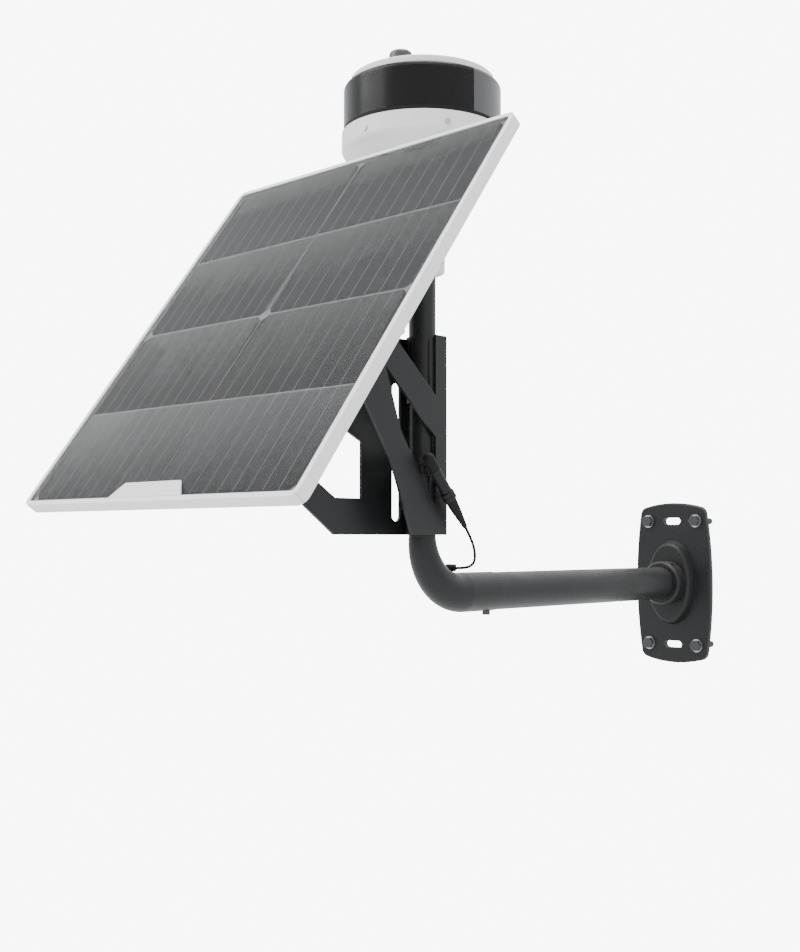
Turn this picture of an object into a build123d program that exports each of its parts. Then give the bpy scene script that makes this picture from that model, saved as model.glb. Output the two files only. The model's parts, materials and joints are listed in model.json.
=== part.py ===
# Solar-powered security camera on a wall arm: wall plate, arm, elbow and pole,
# a welded bracket that carries a tilting solar panel, and a round camera head on top.
# Millimetres. The wall is the plane y = 0, the arm runs along -Y, and +Z is up.
import os
from math import asin, atan2, cos, degrees, hypot, radians, sin, tan

from build123d import *

os.makedirs("parts", exist_ok=True)

# ---- Driving dimensions ----
fit_gap = 0.05  # radial clearance where one piece turns on another

# wall plate and arm
plate_half_w, plate_half_h, plate_thick = 56, 106.5, 8
plate_corner_x, plate_corner_z, plate_corner_r = 48, 99, 11
bolt_x, bolt_z, bolt_r, bolt_reach = 36, 82, 4, 30
shank_r = bolt_r + 0.3
slot_length, slot_height, slot_z = 26, 9, 82
boss_w, boss_h, boss_depth = 70, 112, 13
collar_r, collar_front = 28.5, -40
arm_r, arm_wall, arm_end = 21, 2, -390
spigot_r, spigot_end = 19, -425

# elbow and pole
pole_y, pole_r, pole_wall = -503, 14.3, 2
elbow_r, bend_r = 21.6, 60
seam_gap = 0.3
pole_bottom, pole_top = bend_r, 378

# bracket
plate_t, plate_x = 3, 17  # gusset thickness, and its inner face from the pole's axis
sleeve_r = plate_x
sleeve_spans = {"lower_sleeve": (62, 125), "upper_sleeve": (200, 270)}
bracket_bottom, bracket_top = 62, 272

# solar panel, tilted about a bolt behind its centre
tilt = 53.5
panel_w, panel_l, frame_depth, frame_lip = 392, 444, 12, 5
panel_dy, panel_z = -219, 268
pivot_back = 42  # bolt axis behind the panel's front face
lock_up, lock_back = -95, 36  # lock bolt in panel coordinates at rest
tilt_back, tilt_flat = 8, 8  # travel towards vertical and towards horizontal, degrees
rail_w, rail_up = 24, (40, -40)
ear_x, ear_t = 21.5, 2.5

# camera head
neck_r, neck_bottom, neck_top = 24, 339, 395
skirt_r, cone_top, skirt_top = 86, 468, 488
seal_t = 4.5
shell_t = 3
band_r, band_top, band_shoulder = 84, 539, 5
window_half_angle = 81.5
cap_r, cap_edge, cap_rise = 77, 8, 13
look_angle = 65  # where the camera looks at rest, from -Y towards +X
eye_z = 510

# ---- Working planes and points ----
pole_axis = Axis((0, pole_y, 0), (0, 0, 1))
pole_section = Plane.XZ.offset(-pole_y)  # x is radius, y is height
slope_y, slope_z = cos(radians(tilt)), sin(radians(tilt))
panel_centre = (0, pole_y + panel_dy, panel_z)
panel_plane = Plane(origin=panel_centre, x_dir=(1, 0, 0), z_dir=(0, -slope_z, slope_y))


def pole_plane(height):
    return Plane(origin=(0, pole_y, height))


def out_from_pole(turn, height):
    # faces straight out from the pole's axis; turn is measured from +X
    return Plane(origin=(0, pole_y, height), x_dir=(0, 0, 1),
                 z_dir=(cos(radians(turn)), sin(radians(turn)), 0))


def in_bracket(dy, z):
    # a point of a gusset's outline, measured forward from the pole's axis
    return (pole_y + dy, z)


def panel_point(up, back):
    # (y, z) of a point given up the slope and behind the front face
    y = panel_centre[1] + up * slope_y + back * slope_z
    z = panel_centre[2] + up * slope_z - back * slope_y
    return (y, z)


pivot = panel_point(0, pivot_back)
lock = panel_point(lock_up, lock_back)

# ================= Wall plate and arm =================
with BuildPart() as wall_plate:
    with BuildSketch(Plane.XZ) as plate_outline:
        # slightly bowed sides between four corner points
        corners = [(-plate_corner_x, plate_corner_z), (plate_corner_x, plate_corner_z),
                   (plate_corner_x, -plate_corner_z), (-plate_corner_x, -plate_corner_z)]
        side_middles = [(0, plate_half_h), (plate_half_w, 0), (0, -plate_half_h), (-plate_half_w, 0)]
        with BuildLine():
            for start, middle, end in zip(corners, side_middles, corners[1:] + corners[:1]):
                ThreePointArc(start, middle, end)
        make_face()
        fillet(plate_outline.vertices(), plate_corner_r)
    extrude(amount=plate_thick)
    fillet(wall_plate.faces().sort_by(Axis.Y)[0].edges(), 2.5)
    # raised oval boss with a drafted wall
    with BuildSketch(Plane.XZ.offset(plate_thick)):
        Ellipse(boss_w / 2, boss_h / 2)
    extrude(amount=boss_depth, taper=18)
    fillet(wall_plate.faces().sort_by(Axis.Y)[0].edges(), 5)
    # seat of the arm, and a narrower way through for the lead
    with BuildSketch(Plane.XZ.offset(3)):
        Circle(arm_r)
    extrude(amount=boss_depth + plate_thick, mode=Mode.SUBTRACT)
    with BuildSketch(Plane.XZ):
        Circle(arm_r - arm_wall - 3)
        with GridLocations(2 * bolt_x, 2 * bolt_z, 2, 2):
            Circle(bolt_r + 0.5)
        with GridLocations(0, 2 * slot_z, 1, 2):
            SlotOverall(slot_length, slot_height)
    extrude(amount=plate_thick + boss_depth, mode=Mode.SUBTRACT)
wall_plate.part.label = "wall_plate"
export_step(wall_plate.part, "parts/wall_plate.step")

# four anchor bolts that stand out of the back of the plate, with their washers
washer_r, washer_t = 8.5, 1.6
with BuildPart() as wall_washers:
    with BuildSketch(Plane.XZ.offset(plate_thick)):
        with GridLocations(2 * bolt_x, 2 * bolt_z, 2, 2):
            Circle(washer_r)
            Circle(bolt_r + 0.4, mode=Mode.SUBTRACT)
    extrude(amount=washer_t)
wall_washers.part.label = "wall_washers"
export_step(wall_washers.part, "parts/wall_washers.step")

head_seat = plate_thick + washer_t
with BuildPart() as wall_bolts:
    with BuildSketch(Plane.XZ.offset(head_seat)):
        with GridLocations(2 * bolt_x, 2 * bolt_z, 2, 2):
            RegularPolygon(6.5, 6, major_radius=False)
    extrude(amount=5.3)
    with BuildSketch(Plane.XZ.offset(-bolt_reach)):
        with GridLocations(2 * bolt_x, 2 * bolt_z, 2, 2):
            Circle(bolt_r)
    extrude(amount=bolt_reach)
    with BuildSketch(Plane.XZ):
        with GridLocations(2 * bolt_x, 2 * bolt_z, 2, 2):
            Circle(shank_r)
    extrude(amount=head_seat)
    chamfer(wall_bolts.faces().filter_by(Axis.Y).sort_by(Axis.Y)[-4:].edges(), 1)
wall_bolts.part.label = "wall_bolts"
export_step(wall_bolts.part, "parts/wall_bolts.step")

# collar that grips the arm in front of the boss
collar_back = -plate_thick - boss_depth
collar_middle = (collar_back + collar_front) / 2
set_screw_turns, set_screw_r = (-65, -110, 60), 3


def out_from_arm(turn):
    return Plane(origin=(0, collar_middle, 0), x_dir=(0, 1, 0),
                 z_dir=(cos(radians(turn)), 0, sin(radians(turn))))


with BuildPart() as arm_collar:
    with BuildSketch(Plane.XZ.offset(-collar_back)):
        Circle(collar_r)
        Circle(arm_r, mode=Mode.SUBTRACT)
    extrude(amount=collar_back - collar_front)
    chamfer(arm_collar.faces().sort_by(Axis.Y)[0].outer_wire().edges(), 2.5)
    for turn in set_screw_turns:
        with BuildSketch(out_from_arm(turn)):
            Circle(set_screw_r)
        extrude(amount=collar_r + 1, mode=Mode.SUBTRACT)
arm_collar.part.label = "arm_collar"
export_step(arm_collar.part, "parts/arm_collar.step")

with BuildPart() as collar_set_screws:
    for turn in set_screw_turns:
        with BuildSketch(out_from_arm(turn).offset(arm_r)):
            Circle(set_screw_r)
        extrude(amount=6)
        with BuildSketch(out_from_arm(turn).offset(arm_r + 3)):
            RegularPolygon(1.5, 6)
        extrude(amount=4, mode=Mode.SUBTRACT)
collar_set_screws.part.label = "collar_set_screws"
export_step(collar_set_screws.part, "parts/collar_set_screws.step")

with BuildPart() as arm_tube:
    with BuildSketch(Plane.XZ.offset(3)):
        Circle(arm_r)
    extrude(amount=-arm_end - 3)
    with BuildSketch(Plane.XZ.offset(-arm_end)):
        Circle(spigot_r)
    extrude(amount=arm_end - spigot_end)
    with BuildSketch(Plane.XZ.offset(3)):
        Circle(spigot_r - arm_wall)
    extrude(amount=-spigot_end, mode=Mode.SUBTRACT)
arm_tube.part.label = "arm_tube"
export_step(arm_tube.part, "parts/arm_tube.step")

# ================= Elbow, pole and the lead between them =================
bend_y = pole_y + bend_r  # the bend starts here
clamp_screw_y, clamp_screw_r = arm_end - 8, 2.5
with BuildPart() as elbow_outside:
    with BuildSketch(Plane.XZ.offset(-arm_end + seam_gap)):
        Circle(elbow_r)
    extrude(amount=-bend_y + arm_end - seam_gap)
    with BuildLine(Plane.YZ) as bend_path:
        CenterArc((bend_y, bend_r), bend_r, -90, -90)
    with BuildSketch(Plane.XZ.offset(-bend_y)):
        Circle(elbow_r)
    with BuildSketch(pole_plane(bend_r)):
        Circle(pole_r)
    sweep(path=bend_path.wires()[0], multisection=True)

with BuildPart() as elbow_inside:
    with BuildLine(Plane.YZ) as bore_path:
        CenterArc((bend_y, bend_r), bend_r, -90, -90)
    with BuildSketch(Plane.XZ.offset(-bend_y)):
        Circle(spigot_r + fit_gap)
    with BuildSketch(pole_plane(bend_r)):
        Circle(pole_r - pole_wall)
    sweep(path=bore_path.wires()[0], multisection=True)

with BuildPart() as elbow:
    add(elbow_outside.part)
    add(elbow_inside.part, mode=Mode.SUBTRACT)
    with BuildSketch(Plane.XZ.offset(-arm_end)):
        Circle(spigot_r + fit_gap)
    extrude(amount=-bend_y + arm_end, mode=Mode.SUBTRACT)
    # tapped hole of the clamp screw, underneath
    with BuildSketch(Plane(origin=(0, clamp_screw_y, 0), z_dir=(0, 0, -1))):
        Circle(clamp_screw_r)
    extrude(amount=elbow_r + 1, mode=Mode.SUBTRACT)
elbow.part.label = "elbow"
export_step(elbow.part, "parts/elbow.step")

with BuildPart() as elbow_clamp_screw:
    with BuildSketch(Plane(origin=(0, clamp_screw_y, -spigot_r - fit_gap), z_dir=(0, 0, -1))):
        Circle(clamp_screw_r)
    extrude(amount=elbow_r - spigot_r)
    with BuildSketch(Plane(origin=(0, clamp_screw_y, -elbow_r), z_dir=(0, 0, -1))):
        RegularPolygon(4, 6, major_radius=False)
    extrude(amount=4.5)
elbow_clamp_screw.part.label = "elbow_clamp_screw"
export_step(elbow_clamp_screw.part, "parts/elbow_clamp_screw.step")

inlet_dx, inlet_dy, inlet_z = 29, -22, 140  # the gland's corner, from the pole's axis
inlet_corner = (inlet_dx, pole_y + inlet_dy, inlet_z)
inlet_turn = degrees(atan2(inlet_dy, inlet_dx))
with BuildPart() as pole:
    with BuildSketch(pole_plane(pole_bottom)):
        Circle(pole_r)
        Circle(pole_r - pole_wall, mode=Mode.SUBTRACT)
    extrude(amount=pole_top - pole_bottom)
    with BuildSketch(out_from_pole(inlet_turn, inlet_z)):
        Circle(4)
    extrude(amount=pole_r + 1, mode=Mode.SUBTRACT)
pole.part.label = "pole"
export_step(pole.part, "parts/pole.step")

# right-angle gland on the pole: out through the bracket's window, then down and back
lead_dir = Vector(4, 60, -78).normalized()
gland_r = 6.5
gland_end, socket_end, ring_end, boot_start, plug_end = 14, 42, 52, 66, 88  # along lead_dir


def along_lead(distance):
    return Vector(inlet_corner) + lead_dir * distance


with BuildPart() as pole_gland:
    with BuildSketch(out_from_pole(inlet_turn, inlet_z)):
        Circle(gland_r)
    extrude(amount=hypot(inlet_dx, inlet_dy))
    with Locations(inlet_corner):
        Sphere(gland_r)
    with BuildSketch(Plane(origin=inlet_corner, z_dir=lead_dir)):
        Circle(gland_r)
    extrude(amount=gland_end)
    with Locations((0, pole_y, inlet_z)):
        Cylinder(pole_r, 40, mode=Mode.SUBTRACT)
pole_gland.part.label = "pole_gland"
export_step(pole_gland.part, "parts/pole_gland.step")

with BuildPart() as lead_socket:
    with BuildSketch(Plane(origin=along_lead(gland_end), z_dir=lead_dir)):
        Circle(6.2)
    extrude(amount=socket_end - gland_end)
    fillet(lead_socket.edges().filter_by(GeomType.CIRCLE), 1)
lead_socket.part.label = "lead_socket"
export_step(lead_socket.part, "parts/lead_socket.step")

with BuildPart() as lead_ring:
    with BuildSketch(Plane(origin=along_lead(socket_end), z_dir=lead_dir)):
        Circle(7.4)
    extrude(amount=ring_end - socket_end)
    chamfer(lead_ring.edges().filter_by(GeomType.CIRCLE), 0.8)
lead_ring.part.label = "lead_ring"
export_step(lead_ring.part, "parts/lead_ring.step")

lead_r = 1.5
with BuildPart() as lead_plug:
    with BuildSketch(Plane(origin=along_lead(ring_end), z_dir=lead_dir)):
        Circle(6)
    with BuildSketch(Plane(origin=along_lead(boot_start), z_dir=lead_dir)):
        Circle(5)
    with BuildSketch(Plane(origin=along_lead(plug_end), z_dir=lead_dir)):
        Circle(2.4)
    loft(ruled=True)
lead_plug.part.label = "lead_plug"
export_step(lead_plug.part, "parts/lead_plug.step")

# thin lead that hangs in a short loop from the plug to the hood on the elbow
lead_start = along_lead(plug_end)
lead_points = [
    lead_start,
    (33.2, -462.0, 57.8),
    (31.0, -453.5, 43.5),
    (24.0, -446.5, 31.5),
    (12.5, -447.0, 26.2),
    (2.5, -452.5, 26.6),
]


def corner_radii(points):
    radii = []
    for before, corner, after in zip(points, points[1:], points[2:]):
        run_in = Vector(corner) - Vector(before)
        run_out = Vector(after) - Vector(corner)
        half_turn = radians(run_in.get_angle(run_out) / 2)
        radii.append(0.45 * min(run_in.length, run_out.length) / tan(half_turn))
    return radii


lead_radii = corner_radii(lead_points)
print("lead corner radii, mm:", [round(radius, 1) for radius in lead_radii])
with BuildPart() as lead:
    with BuildLine() as lead_path:
        FilletPolyline(*lead_points, radius=lead_radii)
    with BuildSketch(Plane(origin=lead_start, z_dir=lead_dir)):
        Circle(lead_r)
    sweep(path=lead_path.wires()[0])
print("lead length, mm:", round(lead_path.wires()[0].length, 1))
lead.part.label = "lead"
export_step(lead.part, "parts/lead.step")

hood_mouth = Vector(lead_points[-1])
hood_dir = (Vector(lead_points[-1]) - Vector(lead_points[-2])).normalized()
hood_r, hood_reach = 4, 8
hood_corner = hood_mouth + hood_dir * hood_reach
with BuildPart() as lead_hood:
    with BuildSketch(Plane(origin=hood_mouth, z_dir=hood_dir)):
        Circle(hood_r)
    extrude(amount=hood_reach)
    with Locations(hood_corner):
        Sphere(hood_r)
    with BuildSketch(Plane(origin=hood_corner, z_dir=(0, 0, -1))):
        Circle(hood_r)
    extrude(amount=12)
    add(elbow_outside.part, mode=Mode.SUBTRACT)
lead_hood.part.label = "lead_hood"
export_step(lead_hood.part, "parts/lead_hood.step")

# ================= Bracket: sleeves, gussets and their bolts =================
sleeve_screw_r, sleeve_nut_t = 3, 5
for sleeve_name, (low, high) in sleeve_spans.items():
    clamp_z = (low + high) / 2
    with BuildPart() as sleeve:
        with BuildSketch(pole_plane(low)):
            Circle(sleeve_r)
            Circle(pole_r + fit_gap, mode=Mode.SUBTRACT)
        extrude(amount=high - low)
        with BuildSketch(Plane.XZ.offset(-pole_y).shift_origin((0, pole_y, clamp_z))):
            Circle(sleeve_screw_r)
        extrude(amount=sleeve_r + 1, mode=Mode.SUBTRACT)
    sleeve.part.label = sleeve_name
    export_step(sleeve.part, f"parts/{sleeve_name}.step")

clamp_heights = [(low + high) / 2 for low, high in sleeve_spans.values()]
with BuildPart() as sleeve_clamp_screws:
    for height in clamp_heights:
        with BuildSketch(Plane.XZ.offset(-pole_y + pole_r + fit_gap).shift_origin(
                (0, pole_y - pole_r - fit_gap, height))):
            Circle(sleeve_screw_r)
        extrude(amount=15)
        with BuildSketch(Plane.XZ.offset(-pole_y + 26).shift_origin((0, pole_y - 26, height))):
            RegularPolygon(5, 6, major_radius=False)
        extrude(amount=4.5)
sleeve_clamp_screws.part.label = "sleeve_clamp_screws"
export_step(sleeve_clamp_screws.part, "parts/sleeve_clamp_screws.step")

with BuildPart() as sleeve_nuts:
    for height in clamp_heights:
        with BuildSketch(Plane.XZ.offset(-pole_y + sleeve_r).shift_origin(
                (0, pole_y - sleeve_r, height))):
            RegularPolygon(5.5, 6, major_radius=False)
            Circle(sleeve_screw_r, mode=Mode.SUBTRACT)
        extrude(amount=sleeve_nut_t)
sleeve_nuts.part.label = "sleeve_nuts"
export_step(sleeve_nuts.part, "parts/sleeve_nuts.step")

nose_r, pivot_r, lock_r = 15, 4, 3
near_outline = [
    in_bracket(16.5, bracket_bottom),
    in_bracket(16.5, bracket_top),
    in_bracket(-0.5, bracket_top),
    in_bracket(-0.5, 208),
    in_bracket(-62, 262),
    (pivot[0], pivot[1] + nose_r),
    (pivot[0] - nose_r + 4, pivot[1] - nose_r + 2),
    in_bracket(-107, 197),
    in_bracket(-68, 138),
    in_bracket(-37, bracket_bottom),
]
near_window = [
    in_bracket(-76, 232),
    in_bracket(-0.5, 164),
    in_bracket(-0.5, 92),
    in_bracket(-12, 105),
    in_bracket(-54, 169),
]
with BuildPart() as near_gusset:
    with BuildSketch(Plane.YZ.offset(plate_x)) as near_face:
        with BuildLine():
            Polyline(*near_outline, close=True)
        make_face()
        fillet(near_face.vertices().group_by(Axis.X)[0], 9)
        with BuildLine():
            Polyline(*near_window, close=True)
        make_face(mode=Mode.SUBTRACT)
        with Locations(pivot):
            Circle(pivot_r, mode=Mode.SUBTRACT)
    extrude(amount=plate_t)
near_gusset.part.label = "near_gusset"
export_step(near_gusset.part, "parts/near_gusset.step")

hook_tip = 14
far_outline = [
    in_bracket(16.5, bracket_bottom),
    in_bracket(16.5, 270),
    in_bracket(-62, 270),
    (pivot[0], pivot[1] + nose_r),
    (pivot[0] - nose_r + 4, pivot[1] - nose_r + 2),
    in_bracket(-98, 169),
    in_bracket(-73, 157),
    in_bracket(-73, 99),
    in_bracket(-110, 99),
    (lock[0] + 2, lock[1] + hook_tip),
    (lock[0] - hook_tip + 3, lock[1] + 4),
    (lock[0] - 4, lock[1] - hook_tip),
    in_bracket(-155, 93),
    in_bracket(-111, bracket_bottom),
]
with BuildPart() as hook_gusset:
    with BuildSketch(Plane.YZ.offset(-plate_x - plate_t)) as far_face:
        with BuildLine():
            Polyline(*far_outline, close=True)
        make_face()
        with Locations(in_bracket(-22, 149)):
            SlotOverall(146, 12.5, rotation=90, mode=Mode.SUBTRACT)
        with Locations(pivot):
            Circle(pivot_r, mode=Mode.SUBTRACT)
        with Locations(lock):
            Circle(lock_r, mode=Mode.SUBTRACT)
    extrude(amount=plate_t)
hook_gusset.part.label = "hook_gusset"
export_step(hook_gusset.part, "parts/hook_gusset.step")

with BuildPart() as hinge_spacer:
    with BuildSketch(Plane.YZ.offset(-plate_x)):
        with Locations(pivot):
            Circle(7)
            Circle(pivot_r, mode=Mode.SUBTRACT)
    extrude(amount=2 * plate_x)
hinge_spacer.part.label = "hinge_spacer"
export_step(hinge_spacer.part, "parts/hinge_spacer.step")

# one long bolt through both gussets and both ears of the panel's bracket
stack = ear_x + ear_t + 0.3
with BuildPart() as tilt_bolt:
    with BuildSketch(Plane.YZ.offset(-stack - 9)):
        with Locations(pivot):
            Circle(pivot_r)
    extrude(amount=2 * stack + 9)
    with BuildSketch(Plane.YZ.offset(stack)):
        with Locations(pivot):
            RegularPolygon(6.5, 6, major_radius=False)
    extrude(amount=5)
tilt_bolt.part.label = "tilt_bolt"
export_step(tilt_bolt.part, "parts/tilt_bolt.step")

with BuildPart() as tilt_nut:
    with BuildSketch(Plane.YZ.offset(-stack - 7)):
        with Locations(pivot):
            RegularPolygon(6.5, 6, major_radius=False)
            Circle(pivot_r, mode=Mode.SUBTRACT)
    extrude(amount=7)
tilt_nut.part.label = "tilt_nut"
export_step(tilt_nut.part, "parts/tilt_nut.step")

quadrant_x = -ear_x - ear_t  # inner face of the quadrant plate
quadrant_t = 2.5
knob_r, knob_t = 12, 12
lock_end = quadrant_x - quadrant_t - knob_t
with BuildPart() as lock_bolt:
    with BuildSketch(Plane.YZ.offset(-plate_x)):
        with Locations(lock):
            RegularPolygon(5, 6, major_radius=False)
    extrude(amount=4)
    with BuildSketch(Plane.YZ.offset(lock_end)):
        with Locations(lock):
            Circle(lock_r)
    extrude(amount=-plate_x - lock_end)
lock_bolt.part.label = "lock_bolt"
export_step(lock_bolt.part, "parts/lock_bolt.step")

with BuildPart() as lock_knob:
    with BuildSketch(Plane.YZ.offset(lock_end - 0.4)):
        with Locations(lock):
            Circle(knob_r)
    extrude(amount=knob_t)
    with BuildSketch(Plane.YZ.offset(lock_end - 2)):
        with Locations(lock):
            with PolarLocations(knob_r + 2, 6):
                Circle(4)
    extrude(amount=knob_t + 2, mode=Mode.SUBTRACT)
    with BuildSketch(Plane.YZ.offset(lock_end)):
        with Locations(lock):
            Circle(lock_r)
    extrude(amount=12, mode=Mode.SUBTRACT)
lock_knob.part.label = "lock_knob"
export_step(lock_knob.part, "parts/lock_knob.step")

# ================= Solar panel =================
glass_top, glass_t, cell_t, sheet_t = -0.8, 3.2, 0.5, 0.6
glass_w, glass_l = panel_w - 6.4, panel_l - 6.4
with BuildPart() as panel_frame:
    with BuildSketch(panel_plane.offset(-frame_depth)):
        RectangleRounded(panel_w, panel_l, 9)
    extrude(amount=frame_depth)
    with BuildSketch(panel_plane.offset(-frame_depth)):
        RectangleRounded(panel_w - 24, panel_l - 24, 6)
    extrude(amount=frame_depth, mode=Mode.SUBTRACT)
    with BuildSketch(panel_plane.offset(-frame_depth + 1.5)):
        RectangleRounded(panel_w - 6, panel_l - 6, 6)
    extrude(amount=frame_depth - 1.5 + glass_top, mode=Mode.SUBTRACT)
    with BuildSketch(panel_plane.offset(glass_top)):
        RectangleRounded(panel_w - 2 * frame_lip, panel_l - 2 * frame_lip, 5)
    extrude(amount=-glass_top, mode=Mode.SUBTRACT)
panel_frame.part.label = "panel_frame"
export_step(panel_frame.part, "parts/panel_frame.step")

with BuildPart() as panel_glass:
    with BuildSketch(panel_plane.offset(glass_top - glass_t)):
        RectangleRounded(glass_w, glass_l, 7)
    extrude(amount=glass_t)
panel_glass.part.label = "panel_glass"
export_step(panel_glass.part, "parts/panel_glass.step")

# square cells with cropped corners, each cut in half: two columns and four rows
cell_w, cell_l, column_gap, row_gap, crop = 186, 105, 1.2, 2.5, 7
pair_pitch = 2 * (cell_l + row_gap)
cell_back = glass_top - glass_t - cell_t
with BuildPart() as solar_cells:
    with BuildSketch(panel_plane.offset(cell_back)) as cell_faces:
        with GridLocations(cell_w + column_gap, pair_pitch, 2, 2):
            Rectangle(cell_w, 2 * cell_l + row_gap)
        chamfer(cell_faces.vertices(), crop)
        with GridLocations(0, pair_pitch, 1, 2):
            Rectangle(2 * cell_w + 10, row_gap, mode=Mode.SUBTRACT)
    extrude(amount=cell_t)
solar_cells.part.label = "solar_cells"
export_step(solar_cells.part, "parts/solar_cells.step")

with BuildPart() as panel_backsheet:
    with BuildSketch(panel_plane.offset(cell_back - sheet_t)):
        RectangleRounded(glass_w, glass_l, 7)
    extrude(amount=sheet_t)
panel_backsheet.part.label = "panel_backsheet"
export_step(panel_backsheet.part, "parts/panel_backsheet.step")

with BuildPart() as panel_badge:
    with BuildSketch(panel_plane.offset(glass_top)):
        with Locations((-2, -panel_l / 2 + frame_lip + 8)):
            Trapezoid(106, 16, 52)
    extrude(amount=1.2)
panel_badge.part.label = "panel_badge"
export_step(panel_badge.part, "parts/panel_badge.step")

# channels behind the laminate, with flat tabs at the ends that reach the frame
rail_depth, rail_t, rail_l = 12, 2, 340
tab_l, tab_middle, rail_screw_x = 33, 176.5, 188
rail_names = ("upper_rail", "lower_rail")
for rail_name, up in zip(rail_names, rail_up):
    with BuildPart() as rail:
        with BuildSketch(panel_plane.offset(-frame_depth - rail_depth)):
            with Locations((0, up)):
                Rectangle(rail_l, rail_w)
        extrude(amount=rail_depth)
        with BuildSketch(panel_plane.offset(-frame_depth - rail_depth + rail_t)):
            with Locations((0, up)):
                Rectangle(rail_l + 2, rail_w - 2 * rail_t)
        extrude(amount=rail_depth - rail_t, mode=Mode.SUBTRACT)
        with BuildSketch(panel_plane.offset(-frame_depth - rail_t)):
            with Locations((0, up)):
                with GridLocations(2 * tab_middle, 0, 2, 1):
                    Rectangle(tab_l, rail_w)
        extrude(amount=rail_t)
    rail.part.label = rail_name
    export_step(rail.part, f"parts/{rail_name}.step")

with BuildPart() as rail_screws:
    with BuildSketch(panel_plane.offset(-frame_depth - rail_t - 2.2)):
        for up in rail_up:
            with Locations((0, up)):
                with GridLocations(2 * rail_screw_x, 0, 2, 1):
                    Circle(4)
    extrude(amount=2.2)
rail_screws.part.label = "rail_screws"
export_step(rail_screws.part, "parts/rail_screws.step")

# folded bracket: a web on the rails, and an ear down each side to the tilt bolt
web_t = 2
web_back = frame_depth + rail_depth
web_low, web_high = rail_up[1] - 16, rail_up[0] + 16
ear_plane = Plane(origin=panel_centre, x_dir=(0, slope_y, slope_z), z_dir=(1, 0, 0))
with BuildPart() as panel_bracket:
    with BuildSketch(panel_plane.offset(-web_back - web_t)):
        with Locations((0, (web_low + web_high) / 2)):
            Rectangle(2 * (ear_x + ear_t), web_high - web_low)
    extrude(amount=web_t)
    for ear_start in (ear_x, -ear_x - ear_t):
        with BuildSketch(ear_plane.offset(ear_start)):
            with Locations((0, -pivot_back)):
                Circle(13)
            with Locations(((web_low + web_high) / 2, -web_back - 4)):
                Rectangle(web_high - web_low, 8)
            make_hull()
            with Locations((0, -pivot_back)):
                Circle(pivot_r + fit_gap, mode=Mode.SUBTRACT)
        extrude(amount=ear_t)
panel_bracket.part.label = "panel_bracket"
export_step(panel_bracket.part, "parts/panel_bracket.step")

with BuildPart() as web_screws:
    with BuildSketch(panel_plane.offset(-web_back - web_t - 2.5)):
        for up in rail_up:
            with Locations((0, up)):
                with GridLocations(24, 0, 2, 1):
                    Circle(3.8)
    extrude(amount=2.5)
web_screws.part.label = "web_screws"
export_step(web_screws.part, "parts/web_screws.step")

# quadrant plate with an arc slot round the tilt bolt, for the lock bolt
lock_reach = hypot(lock_up, pivot_back - lock_back)
lock_turn = degrees(atan2(pivot_back - lock_back, lock_up))


def on_arc(turn, reach=lock_reach):
    return (reach * cos(radians(turn)), -pivot_back + reach * sin(radians(turn)))


slot_start, slot_end = lock_turn - tilt_back - 0.6, lock_turn + tilt_flat + 0.6
with BuildPart() as tilt_quadrant:
    with BuildSketch(ear_plane.offset(quadrant_x - quadrant_t)):
        with Locations(on_arc(slot_start), on_arc(slot_end)):
            Circle(9)
        with Locations((-46, -37)):
            Rectangle(20, 9)
        make_hull()
        with BuildLine() as slot_line:
            ThreePointArc(on_arc(slot_start), on_arc((slot_start + slot_end) / 2), on_arc(slot_end))
        SlotArc(slot_line.edges()[0], 6.6, mode=Mode.SUBTRACT)
    extrude(amount=quadrant_t)
tilt_quadrant.part.label = "tilt_quadrant"
export_step(tilt_quadrant.part, "parts/tilt_quadrant.step")

# junction box on the back of the laminate
box_up, box_side = 120, -70
sheet_back = -(cell_back - sheet_t)
with BuildPart() as junction_box:
    with BuildSketch(panel_plane.offset(-sheet_back - 14)):
        with Locations((box_side, box_up)):
            RectangleRounded(70, 60, 6)
    extrude(amount=14)
    with BuildSketch(panel_plane.offset(-sheet_back - 14)):
        with Locations((box_side, box_up)):
            RectangleRounded(64, 54, 4)
    extrude(amount=11, mode=Mode.SUBTRACT)
junction_box.part.label = "junction_box"
export_step(junction_box.part, "parts/junction_box.step")

with BuildPart() as junction_lid:
    with BuildSketch(panel_plane.offset(-sheet_back - 17)):
        with Locations((box_side, box_up)):
            RectangleRounded(70, 60, 6)
    extrude(amount=3)
    chamfer(junction_lid.faces().sort_by(Axis.Y)[-1].edges(), 1)
junction_lid.part.label = "junction_lid"
export_step(junction_lid.part, "parts/junction_lid.step")

gland_plane = Plane(origin=panel_plane.from_local_coords((box_side, box_up - 30, -sheet_back - 8)),
                    x_dir=(1, 0, 0), z_dir=(0, -slope_y, -slope_z))
with BuildPart() as junction_gland:
    with BuildSketch(gland_plane):
        RegularPolygon(5.5, 6, major_radius=False)
    extrude(amount=6)
    with BuildSketch(gland_plane.offset(6)):
        Circle(5)
    extrude(amount=8, taper=12)
junction_gland.part.label = "junction_gland"
export_step(junction_gland.part, "parts/junction_gland.step")

# ================= Camera head =================
neck_screw_turns, neck_screw_r, neck_screw_z = (30, 150, 270), 2.5, neck_bottom + 14
bore_r = pole_r - 6  # way through for the wires
with BuildPart() as neck_clamp:
    with BuildSketch(pole_section):
        with BuildLine():
            Polyline((pole_r + fit_gap, neck_bottom), (neck_r - 1.5, neck_bottom),
                     (neck_r, neck_bottom + 1.5), (neck_r, neck_top), (bore_r, neck_top),
                     (bore_r, pole_top + 3), (pole_r + fit_gap, pole_top + 3), close=True)
        make_face()
    revolve(axis=pole_axis)
    for turn in neck_screw_turns:
        with BuildSketch(out_from_pole(turn, neck_screw_z)):
            Circle(neck_screw_r)
        extrude(amount=neck_r + 1, mode=Mode.SUBTRACT)
neck_clamp.part.label = "neck_clamp"
export_step(neck_clamp.part, "parts/neck_clamp.step")

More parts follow.
